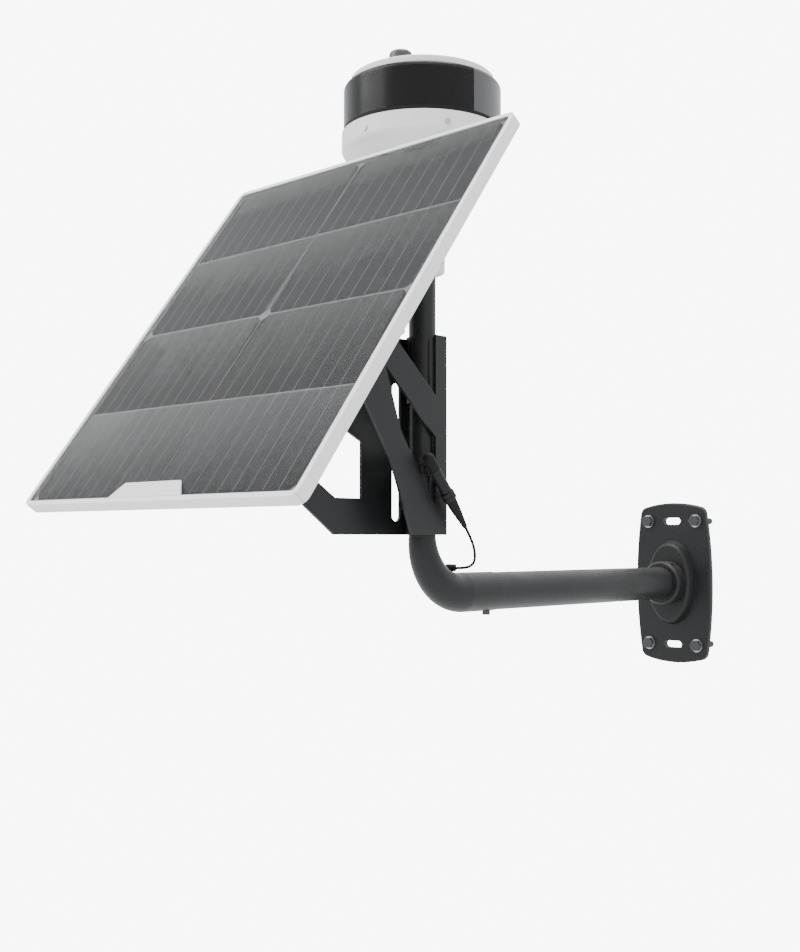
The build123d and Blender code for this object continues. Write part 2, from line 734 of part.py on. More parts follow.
with BuildPart() as neck_screws:
    for turn in neck_screw_turns:
        outward = out_from_pole(turn, neck_screw_z)
        with BuildSketch(outward.offset(pole_r + fit_gap)):
            Circle(neck_screw_r)
        extrude(amount=neck_r - pole_r - 1)
        with BuildSketch(outward.offset(neck_r - 4)):
            RegularPolygon(1.25, 6)
        extrude(amount=4, mode=Mode.SUBTRACT)
neck_screws.part.label = "neck_screws"
export_step(neck_screws.part, "parts/neck_screws.step")

housing_screw_turns, housing_screw_r, housing_screw_z = range(30, 390, 60), 1.6, cone_top + 8
with BuildPart() as lower_housing:
    with BuildSketch(pole_section) as shell_section:
        with BuildLine():
            Polyline((bore_r, neck_top), (neck_r + 2, neck_top), (skirt_r, cone_top),
                     (skirt_r, skirt_top), (skirt_r - shell_t, skirt_top),
                     (skirt_r - shell_t, cone_top + 4.6), (neck_r + 0.5, neck_top + shell_t),
                     (bore_r, neck_top + shell_t), close=True)
        make_face()
        fillet(shell_section.vertices().group_by(Axis.X)[-1].sort_by(Axis.Y)[0], 8)
    revolve(axis=pole_axis)
    for turn in housing_screw_turns:
        with BuildSketch(out_from_pole(turn, housing_screw_z)):
            Circle(housing_screw_r)
        extrude(amount=skirt_r + 1, mode=Mode.SUBTRACT)
lower_housing.part.label = "lower_housing"
export_step(lower_housing.part, "parts/lower_housing.step")

# deck with a rim inside the skirt, which the six housing screws reach
rim_r, rim_depth, deck_under = skirt_r - shell_t - 0.3, 15, skirt_top - 4
with BuildPart() as chassis:
    with BuildSketch(pole_plane(deck_under)):
        Circle(rim_r)
    extrude(amount=3)
    with BuildSketch(pole_plane(skirt_top - rim_depth)):
        Circle(rim_r)
        Circle(rim_r - 4, mode=Mode.SUBTRACT)
    extrude(amount=rim_depth - 4)
    with BuildSketch(pole_plane(deck_under)):
        Circle(5)
    extrude(amount=3, mode=Mode.SUBTRACT)
chassis.part.label = "chassis"
export_step(chassis.part, "parts/chassis.step")

with BuildPart() as housing_screws:
    for turn in housing_screw_turns:
        outward = out_from_pole(turn, housing_screw_z)
        with BuildSketch(outward.offset(rim_r)):
            Circle(housing_screw_r)
        extrude(amount=skirt_r - rim_r)
        with BuildSketch(outward.offset(skirt_r)):
            Circle(3)
        extrude(amount=1.4)
housing_screws.part.label = "housing_screws"
export_step(housing_screws.part, "parts/housing_screws.step")

seal_top = skirt_top + seal_t
with BuildPart() as seal_ring:
    with BuildSketch(pole_plane(skirt_top)):
        Circle(band_r + 0.4)
        Circle(band_r - shell_t - 2, mode=Mode.SUBTRACT)
    extrude(amount=seal_top - skirt_top)
seal_ring.part.label = "seal_ring"
export_step(seal_ring.part, "parts/seal_ring.step")


# the smoked window is the front of the band, an opaque shell is the back
inner_r, shoulder_z = band_r - shell_t, band_top - band_shoulder
for band_name, edge_turn, sweep_turn in (
        ("window_band", -window_half_angle, 2 * window_half_angle),
        ("rear_band", window_half_angle, 360 - 2 * window_half_angle)):
    edge_x, edge_y = sin(radians(edge_turn)), -cos(radians(edge_turn))
    with BuildPart() as band:
        with BuildSketch(Plane(origin=(0, pole_y, 0), x_dir=(edge_x, edge_y, 0),
                               z_dir=(edge_y, -edge_x, 0))):
            with BuildLine():
                Line((inner_r, seal_top), (band_r, seal_top))
                Line((band_r, seal_top), (band_r, shoulder_z))
                RadiusArc((band_r, shoulder_z), (band_r - band_shoulder, band_top), -band_shoulder)
                Line((band_r - band_shoulder, band_top), (cap_r - 10, band_top))
                Line((cap_r - 10, band_top), (cap_r - 10, band_top - shell_t))
                Line((cap_r - 10, band_top - shell_t), (band_r - band_shoulder, band_top - shell_t))
                RadiusArc((band_r - band_shoulder, band_top - shell_t), (inner_r, shoulder_z),
                          band_shoulder - shell_t)
                Line((inner_r, shoulder_z), (inner_r, seal_top))
            make_face()
        revolve(axis=pole_axis, revolution_arc=sweep_turn)
    band.part.label = band_name
    export_step(band.part, f"parts/{band_name}.step")

# shallow dome, a slice of a large ball on a straight edge
dome_rise = cap_rise - cap_edge
dome_r = (cap_r**2 + dome_rise**2) / (2 * dome_rise)
half_way = asin(cap_r / dome_r) / 2
dome_middle = (dome_r * sin(half_way), band_top + cap_rise - dome_r * (1 - cos(half_way)))
with BuildPart() as top_cap:
    with BuildSketch(pole_section) as cap_section:
        with BuildLine():
            Line((0, band_top), (cap_r, band_top))
            Line((cap_r, band_top), (cap_r, band_top + cap_edge))
            ThreePointArc((cap_r, band_top + cap_edge), dome_middle, (0, band_top + cap_rise))
            Line((0, band_top + cap_rise), (0, band_top))
        make_face()
        fillet(cap_section.vertices().group_by(Axis.X)[-1].sort_by(Axis.Y)[-1], 2)
    revolve(axis=pole_axis)
top_cap.part.label = "top_cap"
export_step(top_cap.part, "parts/top_cap.step")

# low radio dome near the cap's front edge
dome_dx, dome_dy, dome_low, dome_high = 24.4, -59.1, 6, 17
with BuildPart() as radio_dome:
    with BuildSketch(Plane(origin=(dome_dx, pole_y + dome_dy, band_top + dome_low))):
        Circle(12)
    extrude(amount=dome_high - dome_low)
    fillet(radio_dome.faces().sort_by(Axis.Z)[-1].edges(), 4.5)
    add(top_cap.part, mode=Mode.SUBTRACT)
radio_dome.part.label = "radio_dome"
export_step(radio_dome.part, "parts/radio_dome.step")

# four round cells and a board hang under the deck, inside the bowl
with BuildPart() as battery_cells:
    with BuildSketch(pole_plane(408)):
        with Locations((0, 0)):
            with GridLocations(19, 19, 2, 2):
                Circle(9.2)
    extrude(amount=62)
battery_cells.part.label = "battery_cells"
export_step(battery_cells.part, "parts/battery_cells.step")

with BuildPart() as main_board:
    with BuildSketch(pole_plane(472.5)):
        Circle(66)
        Circle(4, mode=Mode.SUBTRACT)
    extrude(amount=1.6)
    with BuildSketch(pole_plane(474.1)):
        with Locations((30, 8)):
            Rectangle(16, 16)
        with Locations((-34, -10)):
            Rectangle(20, 12)
    extrude(amount=2)
main_board.part.label = "main_board"
export_step(main_board.part, "parts/main_board.step")

deck_top = skirt_top - 1
with BuildPart() as infrared_ring:
    with BuildSketch(pole_plane(deck_top)):
        Circle(band_r - shell_t - 3)
        Circle(66, mode=Mode.SUBTRACT)
    extrude(amount=1.6)
    with BuildSketch(pole_plane(deck_top + 1.6)):
        with PolarLocations(72, 24):
            Circle(1.8)
    extrude(amount=2)
infrared_ring.part.label = "infrared_ring"
export_step(infrared_ring.part, "parts/infrared_ring.step")

yoke_base = 494.5
shaft_r = 3
with BuildPart() as pan_motor:
    with BuildSketch(pole_plane(deck_top)):
        Circle(15)
    extrude(amount=yoke_base - 0.5 - deck_top)
    with BuildSketch(pole_plane(yoke_base - 0.5)):
        Circle(shaft_r)
    extrude(amount=3)
pan_motor.part.label = "pan_motor"
export_step(pan_motor.part, "parts/pan_motor.step")

# camera and yoke; the camera looks along look_dir at rest
look_dir = (sin(radians(look_angle)), -cos(radians(look_angle)), 0)
side_dir = (cos(radians(look_angle)), sin(radians(look_angle)), 0)
look_plane = Plane(origin=(0, pole_y, eye_z), x_dir=side_dir, z_dir=look_dir)  # z forward, y up
side_plane = Plane(origin=(0, pole_y, eye_z), x_dir=look_dir,
                   z_dir=(-side_dir[0], -side_dir[1], 0))  # z along the tilt axis, y up
floor_plane = Plane(origin=(0, pole_y, yoke_base), x_dir=look_dir, z_dir=(0, 0, 1))
yoke_in, yoke_t, pin_r = 17, 2.5, 2
with BuildPart() as camera_yoke:
    with BuildSketch(floor_plane):
        Rectangle(22, 2 * (yoke_in + yoke_t))
        Circle(shaft_r + fit_gap, mode=Mode.SUBTRACT)
    extrude(amount=2.5)
    for arm_start in (yoke_in, -yoke_in - yoke_t):
        with BuildSketch(side_plane.offset(arm_start)):
            with Locations((0, (yoke_base - eye_z) / 2 + 1)):
                Rectangle(14, eye_z - yoke_base - 2)
            Circle(7)
            Circle(pin_r + fit_gap, mode=Mode.SUBTRACT)
        extrude(amount=yoke_t)
camera_yoke.part.label = "camera_yoke"
export_step(camera_yoke.part, "parts/camera_yoke.step")

with BuildPart() as camera_body:
    with BuildSketch(look_plane.offset(-18)):
        RectangleRounded(31, 18, 3)
    extrude(amount=60)
    with BuildSketch(side_plane.offset(-yoke_in - yoke_t)):
        Circle(pin_r)
    extrude(amount=2 * (yoke_in + yoke_t))
    with BuildSketch(look_plane.offset(34)):
        Circle(7)
    extrude(amount=8, mode=Mode.SUBTRACT)
camera_body.part.label = "camera_body"
export_step(camera_body.part, "parts/camera_body.step")

with BuildPart() as image_sensor:
    with BuildSketch(look_plane.offset(34)):
        Rectangle(7, 5)
    extrude(amount=1)
image_sensor.part.label = "image_sensor"
export_step(image_sensor.part, "parts/image_sensor.step")

with BuildPart() as lens_barrel:
    with BuildSketch(look_plane.offset(36)):
        Circle(7)
        Circle(5.5, mode=Mode.SUBTRACT)
    extrude(amount=6)
    with BuildSketch(look_plane.offset(42)):
        Circle(8.5)
        Circle(6.5, mode=Mode.SUBTRACT)
    extrude(amount=8)
lens_barrel.part.label = "lens_barrel"
export_step(lens_barrel.part, "parts/lens_barrel.step")

with BuildPart() as lens_glass:
    with BuildSketch(look_plane.offset(45)):
        Circle(6.5)
    extrude(amount=2)
lens_glass.part.label = "lens_glass"
export_step(lens_glass.part, "parts/lens_glass.step")
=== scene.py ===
import json
import math

import bpy
import numpy as np
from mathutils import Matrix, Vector


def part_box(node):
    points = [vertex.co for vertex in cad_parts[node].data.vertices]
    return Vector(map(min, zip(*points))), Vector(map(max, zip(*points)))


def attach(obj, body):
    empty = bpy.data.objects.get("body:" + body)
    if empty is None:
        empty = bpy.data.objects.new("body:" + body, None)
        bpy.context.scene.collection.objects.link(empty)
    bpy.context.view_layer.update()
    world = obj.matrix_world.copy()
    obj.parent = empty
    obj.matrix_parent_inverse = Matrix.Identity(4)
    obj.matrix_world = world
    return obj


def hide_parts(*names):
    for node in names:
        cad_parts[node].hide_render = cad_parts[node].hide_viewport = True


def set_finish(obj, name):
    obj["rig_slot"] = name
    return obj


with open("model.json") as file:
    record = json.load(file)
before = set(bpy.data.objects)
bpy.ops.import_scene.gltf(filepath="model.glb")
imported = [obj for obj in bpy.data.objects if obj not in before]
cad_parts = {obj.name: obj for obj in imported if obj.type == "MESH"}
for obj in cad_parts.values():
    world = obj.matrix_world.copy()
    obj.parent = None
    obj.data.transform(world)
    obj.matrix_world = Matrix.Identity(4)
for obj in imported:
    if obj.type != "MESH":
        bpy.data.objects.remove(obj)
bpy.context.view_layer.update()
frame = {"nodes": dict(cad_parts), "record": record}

nodes = frame["nodes"]
print("frame loaded:", len(nodes), "CAD pieces")

# ---------- camera ----------
cameraSet = {
    "place": (0.8795, -1.4587, 0.0578),
    "turn": (92.92, -0.07, 43.65),  # degrees
    "lens": 46.63,
}


def makeCamera(spec):
    data = bpy.data.cameras.new("camera")
    data.lens = spec["lens"]
    data.sensor_width = 36
    data.clip_start, data.clip_end = 0.02, 50
    camera = bpy.data.objects.new("camera", data)
    camera.location = spec["place"]
    camera.rotation_euler = [math.radians(a) for a in spec["turn"]]
    bpy.context.scene.collection.objects.link(camera)
    bpy.context.scene.camera = camera


makeCamera(cameraSet)

# ---------- lead ----------
leadSet = {
    "points": [
        (0.032565, -0.471382, 0.070313), (0.0332, -0.4620, 0.0578), (0.0310, -0.4535, 0.0435),
        (0.0240, -0.4465, 0.0315), (0.0125, -0.4470, 0.0262), (0.0025, -0.4525, 0.0266),
    ],
    "diameter": 0.003,
    "length": 0.071,
}


def makeLead(spec):
    curve = bpy.data.curves.new("leadCurve", "CURVE")
    curve.dimensions = "3D"
    curve.bevel_depth = 1
    curve.bevel_resolution = 6
    curve.resolution_u = 16
    curve.use_fill_caps = True
    spline = curve.splines.new("NURBS")
    spline.points.add(len(spec["points"]) - 1)
    for point, place in zip(spline.points, spec["points"]):
        point.co = (*place, 1)
        point.radius = spec["diameter"] / 2
    spline.order_u = 3
    spline.use_endpoint_u = True
    piece = bpy.data.objects.new("leadLoop", curve)
    bpy.context.scene.collection.objects.link(piece)
    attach(piece, "mast")
    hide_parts("lead")
    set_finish(piece, "black_rubber")
    return piece


leadLoop = makeLead(leadSet)
print("camera and lead made")


# ---------- surfaces on a grid ----------
# Rows run along a piece and columns go round it. Columns join up, and each end
# row is closed to its own middle point. A negative volume means the faces look
# inwards, and then every face is turned over.
def surfacePiece(name, grids, body, slotName):
    allPoints, allFaces, start = [], [], 0
    for grid in grids:
        rows, columns = grid.shape[:2]
        points = np.vstack([grid.reshape(-1, 3), grid[0].mean(0), grid[-1].mean(0)])
        row, column = np.meshgrid(np.arange(rows - 1), np.arange(columns), indexing="ij")
        here = row * columns + column
        beside = row * columns + (column + 1) % columns
        corner = [here, beside, beside + columns, here + columns]
        low = np.stack([corner[0], corner[1], corner[2]], -1).reshape(-1, 3)
        high = np.stack([corner[0], corner[2], corner[3]], -1).reshape(-1, 3)
        ring = np.arange(columns)
        after = (ring + 1) % columns
        first, last = rows * columns, rows * columns + 1
        capA = np.stack([np.full(columns, first), after, ring], -1)
        offset = (rows - 1) * columns
        capB = np.stack([np.full(columns, last), offset + ring, offset + after], -1)
        faces = np.vstack([low, high, capA, capB])
        a, b, c = (points[faces[:, k]] for k in range(3))
        if np.einsum("ij,ij->i", a, np.cross(b, c)).sum() < 0:
            faces = faces[:, ::-1]
        allPoints.append(points)
        allFaces.append(faces + start)
        start += len(points)
    points, faces = np.vstack(allPoints), np.vstack(allFaces)
    mesh = bpy.data.meshes.new(name)
    mesh.from_pydata(points.tolist(), [], faces.tolist())
    mesh.polygons.foreach_set("use_smooth", np.ones(len(faces), bool))
    mesh.update()
    piece = bpy.data.objects.new(name, mesh)
    bpy.context.scene.collection.objects.link(piece)
    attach(piece, body)
    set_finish(piece, slotName)
    return piece


# Two directions square to an axis.
def crossAxes(axis):
    axis = np.array(axis, float) / np.linalg.norm(axis)
    helper = np.array([0, 0, 1.0]) if abs(axis[2]) < 0.9 else np.array([1.0, 0, 0])
    side = np.cross(helper, axis)
    side /= np.linalg.norm(side)
    return axis, side, np.cross(axis, side)


# point = origin + axis * along + radius * (side cos turn + up sin turn), where the
# radius may change with both the place along the axis and the turn.
def turnedGrid(origin, axis, along, radius, columns):
    axis, side, up = crossAxes(axis)
    turn = np.linspace(0, 2 * np.pi, columns, endpoint=False)
    radius = np.broadcast_to(radius if np.ndim(radius) == 2 else np.asarray(radius)[:, None],
                             (len(along), columns))
    round_ = np.cos(turn)[:, None] * side + np.sin(turn)[:, None] * up
    return np.array(origin) + np.asarray(along)[:, None, None] * axis + radius[..., None] * round_


# weld beads beside the lines where the gussets meet the sleeves
weldSet = {"radius": 0.0017, "ripple": 0.14, "pitch": 0.0021, "out": 0.0161, "aside": 0.0057, "inset": 0.003}


# The bead's radius swells and shrinks along its length in even ripples, and
# tapers over the last few millimetres at both ends.
def makeWelds(spec):
    grids = []
    poleY = sum(corner.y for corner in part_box("pole")) / 2
    for sleeve in ("lower_sleeve", "upper_sleeve"):
        low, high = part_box(sleeve)
        length = high.z - low.z - 2 * spec["inset"]
        along = np.linspace(0, length, 180)
        ends = np.clip(np.minimum(along, length - along) / 0.003, 0.15, 1) ** 0.5
        radius = spec["radius"] * ends * (1 + spec["ripple"] * np.sin(2 * np.pi * along / spec["pitch"]))
        for side in (1, -1):
            for aside in (1, -1):
                origin = (side * spec["out"], poleY + aside * spec["aside"], low.z + spec["inset"])
                grids.append(turnedGrid(origin, (0, 0, 1), along, radius, 14))
    return surfacePiece("weldBeads", grids, "bracket", "black_coat")


# threads of the four anchor bolts behind the plate
threadSet = {"root": 0.00402, "depth": 0.0004, "pitch": 0.00125, "start": 0.009, "end": 0.0285, "columns": 28}


# The radius is the root plus a triangle wave of the place along the bolt less
# the share of a turn, which makes the ridge climb one pitch each turn.
def makeThreads(spec):
    mount = next(m for m in frame["record"]["mounts"] if m["kind"] == "bolt_pattern")
    halfX, halfZ = mount["dims"]["spacing_x_mm"] / 2000, mount["dims"]["spacing_y_mm"] / 2000
    along = np.arange(spec["start"], spec["end"], spec["pitch"] / 6)
    turn = np.linspace(0, 1, spec["columns"], endpoint=False)
    phase = (along[:, None] / spec["pitch"] - turn[None, :]) % 1
    ends = np.clip(np.minimum(along - along[0], along[-1] - along) / 0.0015, 0, 1)[:, None]
    radius = spec["root"] + spec["depth"] * ends * (1 - 2 * np.abs(phase - 0.5))
    grids = [turnedGrid((x, 0, z), (0, 1, 0), along, radius, spec["columns"])
             for x in (-halfX, halfX) for z in (-halfZ, halfZ)]
    return surfacePiece("anchorThreads", grids, "wall_mount", "dark_steel")


# knurled coupling ring of the lead's connector
ringSet = {"middle": (29.0, -525.0, 140.0), "direction": (4, 60, -78), "start": 42, "end": 52,
           "radius": 7.25, "knurl": 0.32, "ridges": 24, "columns": 144}


# A straight ring whose radius rises in round ridges as it goes round. The
# ridges fade out towards the chamfer at each end.
def makeCouplingRing(spec):
    axis = np.array(spec["direction"], float) / np.linalg.norm(spec["direction"])
    along = np.array([0, 0.15, 0.8, 1.3, 4.2, 4.6, 5.4, 5.8, 8.7, 9.2, 9.85, 10.0])
    shape = np.array([-0.75, -0.6, -0.1, 0, 0, -0.45, -0.45, 0, 0, -0.1, -0.6, -0.75])
    ridged = np.array([0, 0, 0.5, 1, 1, 0, 0, 1, 1, 0.5, 0, 0])
    turn = np.linspace(0, 2 * np.pi, spec["columns"], endpoint=False)
    ridge = np.abs(np.sin(turn * spec["ridges"] / 2))
    radius = spec["radius"] + shape[:, None] + spec["knurl"] * ridged[:, None] * ridge[None, :]
    origin = (np.array(spec["middle"]) + axis * spec["start"]) / 1000
    piece = surfacePiece("couplingRing", [turnedGrid(origin, axis, along / 1000, radius / 1000,
                                                     spec["columns"])], "mast", "black_plastic")
    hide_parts("lead_ring")
    return piece


# front lens element, crowned towards the window
lensSet = {"look": 65, "eye": 0.510, "back": 0.0450, "radius": 0.0064, "crown": 0.0022, "edge": 0.0008}


# A flat back, a short straight edge, and a front that rises as one less the
# square of the radius.
def makeLens(spec):
    look = math.radians(spec["look"])
    axis = (math.sin(look), -math.cos(look), 0)
    share = np.linspace(1, 0.02, 16)
    along = np.concatenate([[0], spec["edge"] + spec["crown"] * (1 - share**2)])
    radius = np.concatenate([[spec["radius"]], spec["radius"] * share])
    poleY = sum(corner.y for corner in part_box("pole")) / 2
    origin = np.array((0, poleY, spec["eye"])) + np.array(axis) * spec["back"]
    piece = surfacePiece("frontLens", [turnedGrid(origin, axis, along, radius, 48)], "camera", "clear_glass")
    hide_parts("lens_glass")
    return piece


weldBeads = makeWelds(weldSet)
anchorThreads = makeThreads(threadSet)
couplingRing = makeCouplingRing(ringSet)
frontLens = makeLens(lensSet)
print("welds, threads, coupling ring and lens made")


# ---------- shared effects ----------
def newGroup(name, inputs, outputs):
    group = bpy.data.node_groups.new(name, "ShaderNodeTree")
    for label, kind, value in inputs:
        socket = group.interface.new_socket(label, in_out="INPUT", socket_type=kind)
        if value is not None:
            socket.default_value = value
    for label, kind in outputs:
        group.interface.new_socket(label, in_out="OUTPUT", socket_type=kind)
    return group, group.nodes.new("NodeGroupInput"), group.nodes.new("NodeGroupOutput")


def mathNode(tree, operation, first, second=None, third=None):
    node = tree.nodes.new("ShaderNodeMath")
    node.operation = operation
    for socket, value in zip(node.inputs, (first, second, third)):
        if value is None:
            continue
        if isinstance(value, (int, float)):
            socket.default_value = value
        else:
            tree.links.new(value, socket)
    return node.outputs[0]


# speckle of a coated or moulded surface: fine grain over broad uneven patches
def makeGrainGroup():
    group, start, end = newGroup(
        "surfaceGrain",
        [("Place", "NodeSocketVector", None), ("Fine Scale", "NodeSocketFloat", 900.0),
         ("Broad Scale", "NodeSocketFloat", 14.0), ("Smoothest", "NodeSocketFloat", 0.3),
         ("Roughest", "NodeSocketFloat", 0.5)],
        [("Roughness", "NodeSocketFloat"), ("Height", "NodeSocketFloat"), ("Patch", "NodeSocketFloat")])
    link = group.links.new
    fine, broad = group.nodes.new("ShaderNodeTexNoise"), group.nodes.new("ShaderNodeTexNoise")
    for node, scale in ((fine, "Fine Scale"), (broad, "Broad Scale")):
        link(start.outputs["Place"], node.inputs["Vector"])
        link(start.outputs[scale], node.inputs["Scale"])
    fine.inputs["Detail"].default_value = 2
    broad.inputs["Detail"].default_value = 5
    spread = group.nodes.new("ShaderNodeMapRange")
    spread.inputs["From Min"].default_value, spread.inputs["From Max"].default_value = 0.3, 0.7
    link(broad.outputs["Fac"], spread.inputs["Value"])
    link(start.outputs["Smoothest"], spread.inputs["To Min"])
    link(start.outputs["Roughest"], spread.inputs["To Max"])
    link(spread.outputs[0], end.inputs["Roughness"])
    link(fine.outputs["Fac"], end.inputs["Height"])
    link(broad.outputs["Fac"], end.inputs["Patch"])
    return group


# wear along edges: where a rounded normal leaves the true one, broken up by noise
def makeWearGroup():
    group, start, end = newGroup(
        "edgeWear",
        [("Place", "NodeSocketVector", None), ("Width", "NodeSocketFloat", 0.0008),
         ("Amount", "NodeSocketFloat", 0.5)],
        [("Mask", "NodeSocketFloat")])
    link = group.links.new
    bevel, geometry = group.nodes.new("ShaderNodeBevel"), group.nodes.new("ShaderNodeNewGeometry")
    bevel.samples = 4
    link(start.outputs["Width"], bevel.inputs["Radius"])
    dot = group.nodes.new("ShaderNodeVectorMath")
    dot.operation = "DOT_PRODUCT"
    link(bevel.outputs[0], dot.inputs[0])
    link(geometry.outputs["Normal"], dot.inputs[1])
    edge = mathNode(group, "MULTIPLY", mathNode(group, "SUBTRACT", 1.0, dot.outputs["Value"]), 6.0)
    noise = group.nodes.new("ShaderNodeTexNoise")
    noise.inputs["Scale"].default_value = 160
    noise.inputs["Detail"].default_value = 4
    link(start.outputs["Place"], noise.inputs["Vector"])
    broken = mathNode(group, "MULTIPLY", edge, mathNode(group, "POWER", noise.outputs["Fac"], 1.6))
    scaled = mathNode(group, "MULTIPLY", broken, start.outputs["Amount"])
    link(mathNode(group, "MINIMUM", scaled, 1.0), end.inputs["Mask"])
    return group


# dust that settles on faces that look up
def makeDustGroup():
    group, start, end = newGroup(
        "settledDust",
        [("Place", "NodeSocketVector", None), ("Facing", "NodeSocketVector", None),
         ("Amount", "NodeSocketFloat", 0.2)],
        [("Mask", "NodeSocketFloat")])
    link = group.links.new
    split = group.nodes.new("ShaderNodeSeparateXYZ")
    link(start.outputs["Facing"], split.inputs[0])
    noise = group.nodes.new("ShaderNodeTexNoise")
    noise.inputs["Scale"].default_value = 45
    noise.inputs["Detail"].default_value = 6
    link(start.outputs["Place"], noise.inputs["Vector"])
    up = mathNode(group, "MAXIMUM", split.outputs["Z"], 0.0)
    speckled = mathNode(group, "MULTIPLY", mathNode(group, "POWER", up, 2.0), noise.outputs["Fac"])
    link(mathNode(group, "MULTIPLY", speckled, start.outputs["Amount"]), end.inputs["Mask"])
    return group


grainGroup, wearGroup, dustGroup = makeGrainGroup(), makeWearGroup(), makeDustGroup()


def mixColour(tree, factor, first, second):
    node = tree.nodes.new("ShaderNodeMix")
    node.data_type = "RGBA"
    if isinstance(factor, (int, float)):
        node.inputs[0].default_value = factor
    else:
        tree.links.new(factor, node.inputs[0])
    for socket, value in ((node.inputs[6], first), (node.inputs[7], second)):
        if isinstance(value, tuple):
            socket.default_value = (*value, 1)
        else:
            tree.links.new(value, socket)
    return node.outputs[2]


# base colour with patches, worn edges and dust, grain in the bump and the roughness
def makeFinish(name, spec, pattern=None):
    material = bpy.data.materials.new(name)
    material.use_nodes = True
    tree = material.node_tree
    shader = tree.nodes["Principled BSDF"]
    place = tree.nodes.new("ShaderNodeTexCoord")
    grain = tree.nodes.new("ShaderNodeGroup")
    grain.node_tree = grainGroup
    tree.links.new(place.outputs["Object"], grain.inputs["Place"])
    grain.inputs["Fine Scale"].default_value = spec["grain"]
    grain.inputs["Smoothest"].default_value, grain.inputs["Roughest"].default_value = spec["rough"]
    darker = tuple(c * spec.get("patch", 0.86) for c in spec["colour"])
    colour = mixColour(tree, grain.outputs["Patch"], darker, spec["colour"])
    if pattern:
        colour = pattern(tree, place, colour)
    if spec.get("wear"):
        wear = tree.nodes.new("ShaderNodeGroup")
        wear.node_tree = wearGroup
        tree.links.new(place.outputs["Object"], wear.inputs["Place"])
        wear.inputs["Width"].default_value = spec.get("wearWidth", 0.0008)
        wear.inputs["Amount"].default_value = spec["wear"]
        colour = mixColour(tree, wear.outputs["Mask"], colour, spec["worn"])
    if spec.get("dust"):
        dust = tree.nodes.new("ShaderNodeGroup")
        dust.node_tree = dustGroup
        tree.links.new(place.outputs["Object"], dust.inputs["Place"])
        tree.links.new(place.outputs["Normal"], dust.inputs["Facing"])
        dust.inputs["Amount"].default_value = spec["dust"]
        colour = mixColour(tree, dust.outputs["Mask"], colour, (0.55, 0.54, 0.52))
    tree.links.new(colour, shader.inputs["Base Color"])
    tree.links.new(grain.outputs["Roughness"], shader.inputs["Roughness"])
    bump = tree.nodes.new("ShaderNodeBump")
    bump.inputs["Strength"].default_value = spec["bump"]
    bump.inputs["Distance"].default_value = 0.0003
    tree.links.new(grain.outputs["Height"], bump.inputs["Height"])
    tree.links.new(bump.outputs[0], shader.inputs["Normal"])
    shader.inputs["Metallic"].default_value = spec.get("metallic", 0)
    shader.inputs["Transmission Weight"].default_value = spec.get("transmission", 0)
    shader.inputs["IOR"].default_value = spec.get("ior", 1.5)
    shader.inputs["Specular IOR Level"].default_value = spec.get("specular", 0.5)
    shader.inputs["Coat Weight"].default_value = spec.get("coat", 0)
    shader.inputs["Coat Roughness"].default_value = spec.get("coatRough", 0.05)
    return material


panelSet = {"tilt": 53.5, "columnMiddle": 0.0936, "busbars": 10, "cellWidth": 0.186,
            "busbarWidth": 0.0013, "fingerPitch": 0.0021, "rowPitch": 0.1075, "fingerShare": 0.12,
            "halfLength": 0.222, "mitreWidth": 0.00025,
            "lighterCell": (0.028, 0.029, 0.033), "finger": (0.09, 0.09, 0.095),
            "busbar": (0.17, 0.17, 0.175), "mitre": (0.25, 0.25, 0.25)}


# height up the slope, measured from the panel's middle
def upSlope(tree, place):
    low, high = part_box("panel_frame")
    middle = (low + high) / 2
    tilt = math.radians(panelSet["tilt"])
    slope = (0, math.cos(tilt), math.sin(tilt))
    dot = tree.nodes.new("ShaderNodeVectorMath")
    dot.operation = "DOT_PRODUCT"
    tree.links.new(place.outputs["Object"], dot.inputs[0])
    dot.inputs[1].default_value = slope
    return mathNode(tree, "SUBTRACT", dot.outputs["Value"], Vector(slope).dot(middle))


# busbars up the slope at an even pitch in each column, fine fingers across, and
# each cell a little lighter or darker than the next
def cellPattern(tree, place, colour):
    spec = panelSet
    split = tree.nodes.new("ShaderNodeSeparateXYZ")
    tree.links.new(place.outputs["Object"], split.inputs[0])
    across, up = split.outputs["X"], upSlope(tree, place)
    pitch = spec["cellWidth"] / spec["busbars"]
    fromMiddle = mathNode(tree, "SUBTRACT", mathNode(tree, "ABSOLUTE", across), spec["columnMiddle"])
    shifted = mathNode(tree, "ADD", mathNode(tree, "DIVIDE", fromMiddle, pitch), 0.5)
    away = mathNode(tree, "ABSOLUTE", mathNode(tree, "SUBTRACT", mathNode(tree, "FRACT", shifted), 0.5))
    bar = mathNode(tree, "LESS_THAN", away, spec["busbarWidth"] / pitch / 2)
    rung = mathNode(tree, "FRACT", mathNode(tree, "DIVIDE", up, spec["fingerPitch"]))
    finger = mathNode(tree, "MULTIPLY", mathNode(tree, "LESS_THAN", rung, spec["fingerShare"]), 0.25)
    index = tree.nodes.new("ShaderNodeCombineXYZ")
    tree.links.new(mathNode(tree, "SIGN", across), index.inputs["X"])
    tree.links.new(mathNode(tree, "FLOOR", mathNode(tree, "DIVIDE", up, spec["rowPitch"])), index.inputs["Y"])
    tone = tree.nodes.new("ShaderNodeTexWhiteNoise")
    tree.links.new(index.outputs[0], tone.inputs["Vector"])
    lighter = mathNode(tree, "MULTIPLY", tone.outputs["Value"], 0.35)
    colour = mixColour(tree, lighter, colour, spec["lighterCell"])
    colour = mixColour(tree, finger, colour, spec["finger"])
    return mixColour(tree, mathNode(tree, "MULTIPLY", bar, 0.75), colour, spec["busbar"])


